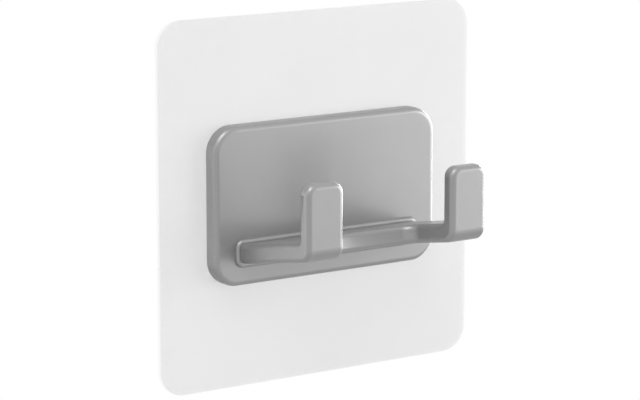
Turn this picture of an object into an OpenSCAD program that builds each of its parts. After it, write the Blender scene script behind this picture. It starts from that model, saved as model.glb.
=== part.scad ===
// Adhesive double wall hook
// A clear square pad sticks to the wall, a small base plate is bonded to the pad,
// and a bracket with two upturned prongs is screwed to the plate from behind.
// Millimetres. X runs along the wall, +Y into the wall and +Z up.
// The origin is the centre of the pad's wall face.

/* [Adhesive pad] */
// Side of the square pad
pad_side = 70; // [60:1:90]
// Radius of the pad's corners
pad_corner_r = 5; // [2:0.5:12]
// Thickness of the clear adhesive layer
adhesive_t = 0.8; // [0.4:0.1:1.6]
// Thickness of the clear carrier film
film_t = 0.4; // [0.2:0.1:1]

/* [Base plate] */
// Width of the base plate
plate_w = 50; // [46:1:58]
// Height of the base plate
plate_h = 30; // [26:1:56]
// Thickness of the base plate
plate_t = 3; // [2.6:0.1:6]
// Radius of the plate's corners, seen from the front
plate_corner_r = 5; // [3:0.5:9]
// Rounding of the plate's front rim
plate_rim_r = 1; // [0.4:0.1:1.6]

/* [Bonding tape] */
// Thickness of the tape, which is the depth of its recess
tape_t = 0.4; // [0.2:0.1:0.8]
// Width of the bare rim round the recess
tape_border = 2; // [1:0.5:4]

/* [Hook bracket] */
// Width across the two arms
hook_w = 40; // [34:1:44]
// Width of each arm and of its tab
arm_w = 8; // [6:0.5:10]
// Thickness of the arms and of the shelf between them
arm_t = 3.6; // [3.2:0.1:5]
// Angle at which the arms rise away from the wall, in degrees
arm_rise = 10.5; // [0:0.5:15]
// Reach from the plate's front to the front of the tabs
hook_reach = 23; // [19:1:32]
// Thickness of the tabs
tab_t = 3; // [2.6:0.1:5]
// Height of the tabs above the arms
tab_h = 10.9; // [6:0.1:16]
// Height from the middle of the root flange up to the plate's centre
root_drop = 8.8; // [6:0.1:9.5]
// Depth of the shelf between the arms, at its middle
shelf_depth = 8.8; // [6:0.1:12]

/* [Hook rounding] */
// Rounding of all the bracket's free edges
edge_r = 1; // [0.4:0.1:1.2]
// Corner radius of the tabs, seen from the front
tab_corner_r = 2; // [1.2:0.1:3]
// Radius of the heel, under each tab
heel_r = 2.6; // [1.4:0.1:2.9]
// Radius of the crook, where arm and tab meet on top
crook_r = 1; // [0.5:0.1:1.4]
// Corner radius of the throat between the arms
throat_corner_r = 3; // [1:0.5:5]
// Radius of the long curve along the back of the throat
throat_bow_r = 33; // [24:1:80]

/* [Root flange] */
// Thickness of the flange
flange_t = 0.75; // [0.4:0.05:1]
// How far the flange stands out at each end of the bracket's section
flange_side = 0.7; // [0.5:0.1:1.2]
// How far the flange stands out above and below that section
flange_border = 0.9; // [0.5:0.1:1.2]

/* [Screws] */
// Diameter of the screws' shanks
screw_d = 2.5; // [2:0.1:2.8]
// Diameter of the countersunk heads
screw_head_d = 4.7; // [4:0.1:5.4]
// Overall length of the screws
screw_len = 6; // [5:0.5:7]
// Distance between the two screws
screw_spacing = 24; // [14:1:30]
// Radial clearance of the shanks in the plate
screw_clearance = 0.1; // [0.05:0.05:0.3]
// Free depth beyond the screws' tips in the bracket
screw_tip_gap = 0.5; // [0.2:0.1:1]

/* [Hidden] */

$fn = 64;
// Facets round the bracket's many small curves
bracket_facets = 40;
// Facets of a full circle of the throat's long curve
bow_facets = 160;
// How far cutting shapes run past what they cut
overrun = 1;
// Share of the flange's thickness that its rim is rounded by
rim_share = 0.8;
// Angle by which the throat's long curve runs on inside its corners
bow_lap = 6;
// Depth by which that curve lies behind the corners, so that they cross it cleanly
seam = 0.05;

pad_t = adhesive_t + film_t;
plate_front = pad_t + plate_t;
tape_corner_r = plate_corner_r - tape_border / 2;

arm_inner_x = hook_w / 2 - arm_w;
tab_back = hook_reach - tab_t;
// Height of the arms' top face where it meets the tabs
arm_top_y = -root_drop + tan(arm_rise) * (tab_back - flange_t) + arm_t / 2 / cos(arm_rise);
tab_top_y = arm_top_y + tab_h;

// Middles of the heel and crook, as heights above the arms' middle plane
heel_up = heel_r - arm_t / 2;
crook_up = crook_r + arm_t / 2;

flange_w = hook_w + 2 * flange_side;
flange_h = arm_t + 2 * flange_border;
flange_corner_r = edge_r + flange_side;

screw_head_t = (screw_head_d - screw_d) / 2;
drive_slot_w = screw_d / 5;
drive_slot_len = screw_head_d / 2;
drive_slot_depth = screw_head_t / 2;

// The parts are drawn with z as the distance from the wall and y up
module facing_room(distance) {
    translate([0, -distance, 0]) rotate([90, 0, 0]) children();
}

// Flat outlines

module rounded_rect(w, h, r) {
    square([w - 2 * r, h], center = true);
    square([w, h - 2 * r], center = true);
    for (side_x = [-1, 1], side_y = [-1, 1])
        translate([side_x * (w / 2 - r), side_y * (h / 2 - r)]) circle(r);
}

// Right half of a slab's section: a block with a rounded upper outer edge
module rim_half(reach, t, rim_r) {
    square([reach - rim_r, t]);
    square([reach, t - rim_r]);
    translate([reach - rim_r, t - rim_r]) intersection() {
        circle(rim_r);
        square(rim_r);
    }
}

// Section of a band of the bracket, from the axis outwards, with both outer edges rounded
module edge_half(reach, t) {
    translate([0, -t / 2]) square([reach - edge_r, t]);
    translate([0, edge_r - t / 2]) square([reach, t - 2 * edge_r]);
    for (side = [-1, 1]) translate([reach - edge_r, side * (t / 2 - edge_r)]) circle(edge_r);
}

// The same band outside a hollow curve: its inner edges are rounded
module hollow_half(inner_r, band, t) {
    translate([inner_r + band, 0]) mirror([1, 0]) edge_half(band, t);
}

// Solid forms

// Slab with rounded corners and a rounded rim on the room side
module rimmed_slab(w, h, t, corner_r, rim_r) {
    for (side_x = [-1, 1], side_y = [-1, 1])
        translate([side_x * (w / 2 - corner_r), side_y * (h / 2 - corner_r), 0])
            rotate_extrude() rim_half(corner_r, t, rim_r);
    rotate([90, 0, 90]) linear_extrude(w - 2 * corner_r, center = true)
        for (turn = [0, 1]) mirror([turn, 0]) rim_half(h / 2, t, rim_r);
    rotate([90, 0, 0]) linear_extrude(h - 2 * corner_r, center = true)
        for (turn = [0, 1]) mirror([turn, 0]) rim_half(w / 2, t, rim_r);
}

module screw_positions() {
    for (side = [-1, 1]) translate([side * screw_spacing / 2, -root_drop, 0]) children();
}

// Places things on the arms' middle plane, with z along the arms and y square to them
module along_arms() {
    translate([0, -root_drop, flange_t]) rotate([-arm_rise, 0, 0]) children();
}

// How far along the arms a point lies that is out from the plate and up from the middle plane
function along(out, up) = (out - flange_t + up * sin(arm_rise)) / cos(arm_rise);
// Height of such a point over the plate's centre
function height(out, up) =
    -root_drop + along(out, up) * sin(arm_rise) + up * cos(arm_rise);

// Turns a section through the angle from the arm's underside to the tab's front
module bend(out, up) {
    along_arms() translate([0, up, along(out, up)]) rotate([90, 0, -90])
        rotate_extrude(angle = 90 - arm_rise) children();
}

// One arm with its upturned tab, rounded on every free edge
module prong() {
    root = -2 * flange_t;
    heel_out = hook_reach - heel_r;
    corner_y = tab_top_y - tab_corner_r;
    heel_y = height(heel_out, heel_up);
    along_arms() translate([0, 0, root]) linear_extrude(along(heel_out, heel_up) - root)
        rounded_rect(arm_w, arm_t, edge_r);
    bend(heel_out, heel_up) edge_half(heel_r, arm_w);
    bend(tab_back - crook_r, crook_up) hollow_half(crook_r, tab_t - edge_r, arm_w);
    translate([0, heel_y, hook_reach - tab_t / 2]) {
        rotate([-90, 0, 0]) linear_extrude(corner_y - heel_y) rounded_rect(arm_w, tab_t, edge_r);
        translate([0, corner_y - heel_y, 0]) {
            for (side = [-1, 1]) translate([side * (arm_w / 2 - tab_corner_r), 0, 0])
                rotate_extrude() edge_half(tab_corner_r, tab_t);
            rotate([90, 0, 90]) linear_extrude(arm_w - 2 * tab_corner_r, center = true)
                edge_half(tab_corner_r, tab_t);
        }
    }
}

// The shelf that joins the arms: its front edge is a long curve between two corner arcs
module shelf() {
    root = -2 * flange_t;
    front = along(shelf_depth, 0);
    corner_x = arm_inner_x - throat_corner_r;
    bow_middle = front + throat_bow_r;
    corner_middle = bow_middle - sqrt(pow(throat_bow_r - throat_corner_r, 2) - pow(corner_x, 2));
    half_angle = asin(corner_x / (throat_bow_r - throat_corner_r));
    half_span = (hook_w - arm_w) / 2;
    band = arm_w / 2;
    along_arms() {
        translate([-half_span, -arm_t / 2, root])
            cube([2 * half_span, arm_t, front - 2 * edge_r - root]);
        translate([0, 0, bow_middle]) rotate([-90, 90 - half_angle - bow_lap, 0])
            rotate_extrude(angle = 2 * (half_angle + bow_lap), $fn = bow_facets)
                hollow_half(throat_bow_r + seam, band, arm_t, $fn = bracket_facets);
        for (side = [0, 1]) mirror([side, 0, 0])
            translate([corner_x, 0, corner_middle]) rotate([-90, 0, 0])
                rotate_extrude(angle = 90 - half_angle) hollow_half(throat_corner_r, band, arm_t);
    }
}

// Sub-parts

module pad_adhesive() {
    color([0.93, 0.93, 0.93, 0.5]) facing_room(0)
        linear_extrude(adhesive_t) rounded_rect(pad_side, pad_side, pad_corner_r);
}

module pad_film() {
    color([0.95, 0.95, 0.95, 0.5]) facing_room(adhesive_t)
        linear_extrude(film_t) rounded_rect(pad_side, pad_side, pad_corner_r);
}

module bonding_tape() {
    color("white") facing_room(pad_t) linear_extrude(tape_t)
        rounded_rect(plate_w - 2 * tape_border, plate_h - 2 * tape_border, tape_corner_r);
}

module base_plate() {
    color([0.72, 0.72, 0.72]) facing_room(pad_t) difference() {
        rimmed_slab(plate_w, plate_h, plate_t, plate_corner_r, plate_rim_r);
        translate([0, 0, -overrun]) linear_extrude(tape_t + overrun)
            rounded_rect(plate_w - 2 * tape_border, plate_h - 2 * tape_border, tape_corner_r);
        screw_positions() {
            cylinder(h = plate_t + overrun, r = screw_d / 2 + screw_clearance);
            translate([0, 0, tape_t]) cylinder(h = screw_head_t, d1 = screw_head_d, d2 = screw_d);
        }
    }
}

module hook_screws() {
    color([0.6, 0.6, 0.62]) facing_room(pad_t + tape_t) screw_positions() difference() {
        union() {
            cylinder(h = screw_head_t, d1 = screw_head_d, d2 = screw_d);
            cylinder(h = screw_len, d = screw_d);
        }
        for (turn = [0, 90]) rotate(turn)
            translate([-drive_slot_len / 2, -drive_slot_w / 2, -overrun])
                cube([drive_slot_len, drive_slot_w, drive_slot_depth + overrun]);
    }
}

module hook_bracket() {
    $fn = bracket_facets;
    hole_depth = screw_len + tape_t - plate_t + screw_tip_gap;
    keep = hook_w + hook_reach + tab_h;
    color([0.72, 0.72, 0.72]) facing_room(plate_front) difference() {
        union() {
            intersection() {
                union() {
                    for (side = [-1, 1])
                        translate([side * (hook_w - arm_w) / 2, 0, 0]) prong();
                    shelf();
                }
                translate([-keep, -keep, 0]) cube(2 * keep);
            }
            translate([0, -root_drop, 0])
                rimmed_slab(flange_w, flange_h, flange_t, flange_corner_r, rim_share * flange_t);
        }
        screw_positions() translate([0, 0, -overrun])
            cylinder(h = hole_depth + overrun, d = screw_d);
    }
}

pad_adhesive();
pad_film();
bonding_tape();
base_plate();
hook_screws();
hook_bracket();
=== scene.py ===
import math

import bpy
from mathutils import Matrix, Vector

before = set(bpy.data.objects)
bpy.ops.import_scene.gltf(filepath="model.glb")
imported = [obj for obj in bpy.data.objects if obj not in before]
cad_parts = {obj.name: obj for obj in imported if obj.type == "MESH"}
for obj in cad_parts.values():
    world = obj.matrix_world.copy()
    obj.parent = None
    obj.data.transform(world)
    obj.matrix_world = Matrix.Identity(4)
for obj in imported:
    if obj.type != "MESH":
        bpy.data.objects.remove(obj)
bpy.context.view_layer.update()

MM = 0.001
nodes = {name: bpy.data.objects[name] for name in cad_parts}

# Camera: fitted to the corners of the pad, the plate and the prongs in the photograph
YAW = math.radians(34.26)
PITCH = math.radians(10.91)
LENS_MM = 153.1
SENSOR_MM = 36
NEAREST = 10 * MM
CAMERA_PLACE = Vector((-284.8, -419.8, 96.3)) * MM

camera_data = bpy.data.cameras.new("camera")
camera_data.sensor_width = SENSOR_MM
camera_data.lens = LENS_MM
camera_data.clip_start = NEAREST
camera = bpy.data.objects.new("camera", camera_data)
camera.location = CAMERA_PLACE
camera.rotation_euler = (math.pi / 2 - PITCH, 0, -YAW)
bpy.context.scene.collection.objects.link(camera)
bpy.context.scene.camera = camera


# Materials

# The part of a noise's range that a colour or a roughness is spread over
NOISE_LOW = 0.3
NOISE_HIGH = 0.7


class Shader:
    """A node tree, emptied, with short calls to add and link nodes."""

    def __init__(self, tree):
        self.tree = tree
        tree.nodes.clear()

    def add(self, kind, **settings):
        node = self.tree.nodes.new(kind)
        for key, value in settings.items():
            setattr(node, key, value)
        return node

    def link(self, source, target):
        self.tree.links.new(source, target)


def grey(level):
    return (level, level, level)


def new_material(name):
    material = bpy.data.materials.new(name)
    material.use_nodes = True
    shader = Shader(material.node_tree)
    output = shader.add("ShaderNodeOutputMaterial")
    surface = shader.add("ShaderNodeBsdfPrincipled")
    shader.link(surface.outputs["BSDF"], output.inputs["Surface"])
    return material, shader, surface


def object_coordinates(shader):
    return shader.add("ShaderNodeTexCoord").outputs["Object"]


def noise(shader, place, scale, detail):
    """Gives a noise; its scale is in cells to the metre, so 1000 gives cells of 1 mm."""
    node = shader.add("ShaderNodeTexNoise")
    node.inputs["Scale"].default_value = scale
    node.inputs["Detail"].default_value = detail
    shader.link(place, node.inputs["Vector"])
    return node.outputs["Fac"]


def clouded(shader, surface, source, dark, light):
    """Lets a noise shift the colour of a surface between two colours."""
    node = shader.add("ShaderNodeValToRGB")
    for end, position, colour in zip(node.color_ramp.elements, (NOISE_LOW, NOISE_HIGH), (dark, light)):
        end.position = position
        end.color = (*colour, 1)
    shader.link(source, node.inputs["Fac"])
    shader.link(node.outputs["Color"], surface.inputs["Base Color"])


def mottled(shader, surface, source, smoothest, roughest):
    """Lets a noise shift the roughness of a surface between two values."""
    node = shader.add("ShaderNodeMapRange")
    node.inputs["From Min"].default_value = NOISE_LOW
    node.inputs["From Max"].default_value = NOISE_HIGH
    node.inputs["To Min"].default_value = smoothest
    node.inputs["To Max"].default_value = roughest
    shader.link(source, node.inputs["Value"])
    shader.link(node.outputs["Result"], surface.inputs["Roughness"])


def bumped(shader, surface, source, height, strength):
    node = shader.add("ShaderNodeBump")
    node.inputs["Distance"].default_value = height
    node.inputs["Strength"].default_value = strength
    shader.link(source, node.inputs["Height"])
    shader.link(node.outputs["Normal"], surface.inputs["Normal"])


# Satin metal: the share that isn't metallic stands for the matte, blasted skin
METAL_SHARE = 0.55
METAL_DARK = grey(0.31)
METAL_LIGHT = grey(0.32)
METAL_SMOOTHEST = 0.36
METAL_ROUGHEST = 0.42
METAL_CLOUDS = {"scale": 120, "detail": 3}
METAL_PATCHES = {"scale": 900, "detail": 2}
METAL_GRAIN = {"scale": 7000, "detail": 2}
METAL_GRAIN_HEIGHT = 0.02 * MM
METAL_GRAIN_STRENGTH = 0.1


def satin_metal():
    """Bead-blasted aluminium: a fine even grain, with faint clouding."""
    material, shader, surface = new_material("satin_aluminium")
    place = object_coordinates(shader)
    surface.inputs["Metallic"].default_value = METAL_SHARE
    clouded(shader, surface, noise(shader, place, **METAL_CLOUDS), METAL_DARK, METAL_LIGHT)
    mottled(shader, surface, noise(shader, place, **METAL_PATCHES), METAL_SMOOTHEST, METAL_ROUGHEST)
    grain = noise(shader, place, **METAL_GRAIN)
    bumped(shader, surface, grain, METAL_GRAIN_HEIGHT, METAL_GRAIN_STRENGTH)
    return material


# Plain steel of the screws
STEEL_DARK = (0.5, 0.5, 0.51)
STEEL_LIGHT = (0.6, 0.6, 0.61)
STEEL_SMOOTHEST = 0.25
STEEL_ROUGHEST = 0.4
STEEL_CLOUDS = {"scale": 400, "detail": 2}
STEEL_PATCHES = {"scale": 2500, "detail": 2}


def steel():
    material, shader, surface = new_material("screw_steel")
    place = object_coordinates(shader)
    surface.inputs["Metallic"].default_value = 1
    clouded(shader, surface, noise(shader, place, **STEEL_CLOUDS), STEEL_DARK, STEEL_LIGHT)
    mottled(shader, surface, noise(shader, place, **STEEL_PATCHES), STEEL_SMOOTHEST, STEEL_ROUGHEST)
    return material


# Foam tape behind the plate
TAPE_DARK = (0.82, 0.82, 0.8)
TAPE_LIGHT = (0.9, 0.9, 0.88)
TAPE_ROUGHNESS = 0.9
TAPE_CLOUDS = {"scale": 1500, "detail": 4}
TAPE_GRAIN = {"scale": 3000, "detail": 3}
TAPE_GRAIN_HEIGHT = 0.05 * MM
TAPE_GRAIN_STRENGTH = 0.5


def white_tape():
    material, shader, surface = new_material("white_tape")
    place = object_coordinates(shader)
    clouded(shader, surface, noise(shader, place, **TAPE_CLOUDS), TAPE_DARK, TAPE_LIGHT)
    surface.inputs["Roughness"].default_value = TAPE_ROUGHNESS
    bumped(shader, surface, noise(shader, place, **TAPE_GRAIN), TAPE_GRAIN_HEIGHT, TAPE_GRAIN_STRENGTH)
    return material


# Clear sheets of the pad: they hide little on their broad faces, and less still on their edges
EDGE_ALPHA = 0.02
ADHESIVE = {"face_alpha": 0.12, "smoothest": 0.45, "dark": grey(0.64), "light": grey(0.68)}
FILM = {"face_alpha": 0.2, "smoothest": 0.3, "dark": grey(0.67), "light": grey(0.71)}
SHEET_ROUGHNESS_SPREAD = 0.06
SHEET_CLOUDS = {"scale": 60, "detail": 3}
SHEET_PATCHES = {"scale": 500, "detail": 2}
SHEET_WAVES = {"scale": 400, "detail": 2}
SHEET_WAVE_HEIGHT = 0.02 * MM
SHEET_WAVE_STRENGTH = 0.08


def facing_share(shader):
    """Is 1 on the broad faces, which look along Y, and 0 on the edges all round."""
    normal = shader.add("ShaderNodeTexCoord").outputs["Normal"]
    parts = shader.add("ShaderNodeSeparateXYZ")
    size = shader.add("ShaderNodeMath", operation="ABSOLUTE")
    shader.link(normal, parts.inputs["Vector"])
    shader.link(parts.outputs["Y"], size.inputs[0])
    return size.outputs["Value"]


def clear_sheet(name, face_alpha, smoothest, dark, light):
    """A clear satin sheet: mostly see-through, with a faint cloud in it and clearer edges."""
    material, shader, surface = new_material(name)
    place = object_coordinates(shader)
    clouded(shader, surface, noise(shader, place, **SHEET_CLOUDS), dark, light)
    alpha = shader.add("ShaderNodeMapRange")
    alpha.inputs["To Min"].default_value = EDGE_ALPHA
    alpha.inputs["To Max"].default_value = face_alpha
    shader.link(facing_share(shader), alpha.inputs["Value"])
    shader.link(alpha.outputs["Result"], surface.inputs["Alpha"])
    roughest = smoothest + SHEET_ROUGHNESS_SPREAD
    mottled(shader, surface, noise(shader, place, **SHEET_PATCHES), smoothest, roughest)
    bumped(shader, surface, noise(shader, place, **SHEET_WAVES), SHEET_WAVE_HEIGHT, SHEET_WAVE_STRENGTH)
    return material


METAL = satin_metal()
MATERIALS = {
    "pad_adhesive": clear_sheet("clear_adhesive", **ADHESIVE),
    "pad_film": clear_sheet("clear_film", **FILM),
    "bonding_tape": white_tape(),
    "base_plate": METAL,
    "hook_screws": steel(),
    "hook_bracket": METAL,
}


# Shading: curved faces shade smoothly and true edges stay crisp

CRISP_ANGLE = math.radians(28)


def geometry_group(name):
    """Gives a new group, its short calls, and the sockets where its geometry starts and ends."""
    group = bpy.data.node_groups.new(name, "GeometryNodeTree")
    for way in ("INPUT", "OUTPUT"):
        group.interface.new_socket("Geometry", in_out=way, socket_type="NodeSocketGeometry")
    shader = Shader(group)
    start = shader.add("NodeGroupInput").outputs["Geometry"]
    end = shader.add("NodeGroupOutput").inputs["Geometry"]
    return group, shader, start, end


def smooth_group():
    group, shader, start, end = geometry_group("smooth_by_angle")
    faces = shader.add("GeometryNodeSetShadeSmooth", domain="FACE")
    edges = shader.add("GeometryNodeSetShadeSmooth", domain="EDGE")
    angle = shader.add("GeometryNodeInputMeshEdgeAngle")
    limit = shader.add("FunctionNodeCompare", data_type="FLOAT", operation="LESS_EQUAL")
    limit.inputs["B"].default_value = CRISP_ANGLE
    shader.link(start, faces.inputs["Geometry"])
    shader.link(faces.outputs["Geometry"], edges.inputs["Geometry"])
    shader.link(angle.outputs["Unsigned Angle"], limit.inputs["A"])
    shader.link(limit.outputs["Result"], edges.inputs["Shade Smooth"])
    shader.link(edges.outputs["Geometry"], end)
    return group


# The clear sheets draw in by a hair, so that no two see-through faces lie in one plane
HAIR = 0.01 * MM
DRAWN_IN_SHEETS = ("pad_adhesive", "pad_film")


def drawn_in_group():
    group, shader, start, end = geometry_group("drawn_in_by_a_hair")
    normal = shader.add("GeometryNodeInputNormal")
    inwards = shader.add("ShaderNodeVectorMath", operation="SCALE")
    inwards.inputs["Scale"].default_value = -HAIR
    place = shader.add("GeometryNodeSetPosition")
    shader.link(normal.outputs["Normal"], inwards.inputs[0])
    shader.link(inwards.outputs["Vector"], place.inputs["Offset"])
    shader.link(start, place.inputs["Geometry"])
    shader.link(place.outputs["Geometry"], end)
    return group


def add_group(node, group):
    node.modifiers.new(group.name, "NODES").node_group = group


SMOOTH = smooth_group()
DRAWN_IN = drawn_in_group()
for name, node in nodes.items():
    for slot in node.material_slots:
        slot.material = MATERIALS[name]
    if name in DRAWN_IN_SHEETS:
        add_group(node, DRAWN_IN)
    add_group(node, SMOOTH)


# Floor and world: white wherever the camera, a reflection or a clear sheet looks at them

WHITE = (1, 1, 1, 1)
WORLD_LEVEL = 0.65
FLOOR_SIDE = 6
FLOOR_DROP = 1.2
FLOOR_COLOUR = (*grey(0.66), 1)
FLOOR_ROUGHNESS = 0.9

# The floor's own glow, near the part and from there out to where it meets the background
NEAR_GLOW = 0.25
FAR_GLOW = 0.6
FADE_START = 1.0
FADE_END = 2.8


def looked_at(shader):
    """Is 1 for rays that look at a surface, and 0 for those that only gather light."""
    rays = shader.add("ShaderNodeLightPath")
    result = rays.outputs["Is Camera Ray"]
    for name in ("Is Glossy Ray", "Is Transmission Ray"):
        larger = shader.add("ShaderNodeMath", operation="MAXIMUM")
        shader.link(result, larger.inputs[0])
        shader.link(rays.outputs[name], larger.inputs[1])
        result = larger.outputs["Value"]
    return result


def white_floor():
    """A pale floor that keeps a shadow and turns into the white background further out."""
    material, shader, surface = new_material("white_floor")
    radius = shader.add("ShaderNodeVectorMath", operation="LENGTH")
    rise = shader.add("ShaderNodeMapRange", interpolation_type="SMOOTHSTEP")
    rise.inputs["From Min"].default_value = FADE_START
    rise.inputs["From Max"].default_value = FADE_END
    rise.inputs["To Min"].default_value = NEAR_GLOW
    rise.inputs["To Max"].default_value = FAR_GLOW
    shader.link(object_coordinates(shader), radius.inputs[0])
    shader.link(radius.outputs["Value"], rise.inputs["Value"])
    glow = shader.add("ShaderNodeMath", operation="MULTIPLY")
    shader.link(rise.outputs["Result"], glow.inputs[0])
    shader.link(looked_at(shader), glow.inputs[1])
    shader.link(glow.outputs["Value"], surface.inputs["Emission Strength"])
    surface.inputs["Emission Color"].default_value = WHITE
    surface.inputs["Base Color"].default_value = FLOOR_COLOUR
    surface.inputs["Roughness"].default_value = FLOOR_ROUGHNESS
    return material


def white_world():
    """A white world that lights the part more softly than it looks."""
    world = bpy.data.worlds.new("world")
    world.use_nodes = True
    shader = Shader(world.node_tree)
    level = shader.add("ShaderNodeMath", operation="MAXIMUM")
    level.inputs[1].default_value = WORLD_LEVEL
    background = shader.add("ShaderNodeBackground")
    background.inputs["Color"].default_value = WHITE
    output = shader.add("ShaderNodeOutputWorld")
    shader.link(looked_at(shader), level.inputs[0])
    shader.link(level.outputs["Value"], background.inputs["Strength"])
    shader.link(background.outputs["Background"], output.inputs["Surface"])
    return world


bpy.ops.mesh.primitive_plane_add(size=FLOOR_SIDE, location=(0, 0, -FLOOR_DROP))
floor = bpy.context.object
floor.name = "floor"
floor.data.materials.append(white_floor())
bpy.context.scene.world = white_world()


# Light: soft boxes aimed at the hook

BOX_WIDTH = 0.56
BOX_HEIGHT = 0.62
BOX_DISTANCE = 1.0

# Azimuth and elevation in degrees, then power; azimuth 0 is in front of the hook and 90 to its right
BOXES = {
    "front_right_box": (57, 4, 5.4),
    "right_back_box": (111, 3, 10.5),
    "left_back_box": (-130, -6, 0.7),
    "left_box": (-100, 10, 0.5),
    "high_left_box": (-56, 58, 4.6),
}


def soft_box(name, azimuth, elevation, power):
    data = bpy.data.lights.new(name, "AREA")
    data.shape = "RECTANGLE"
    data.size = BOX_WIDTH
    data.size_y = BOX_HEIGHT
    data.energy = power
    turn = math.radians(azimuth)
    rise = math.radians(elevation)
    way = Vector((math.sin(turn) * math.cos(rise), -math.cos(turn) * math.cos(rise), math.sin(rise)))
    lamp = bpy.data.objects.new(name, data)
    lamp.location = BOX_DISTANCE * way
    lamp.rotation_euler = way.to_track_quat("Z", "Y").to_euler()
    lamp.visible_camera = False
    bpy.context.scene.collection.objects.link(lamp)


for name, (azimuth, elevation, power) in BOXES.items():
    soft_box(name, azimuth, elevation, power)

bpy.context.scene.view_settings.view_transform = "Standard"
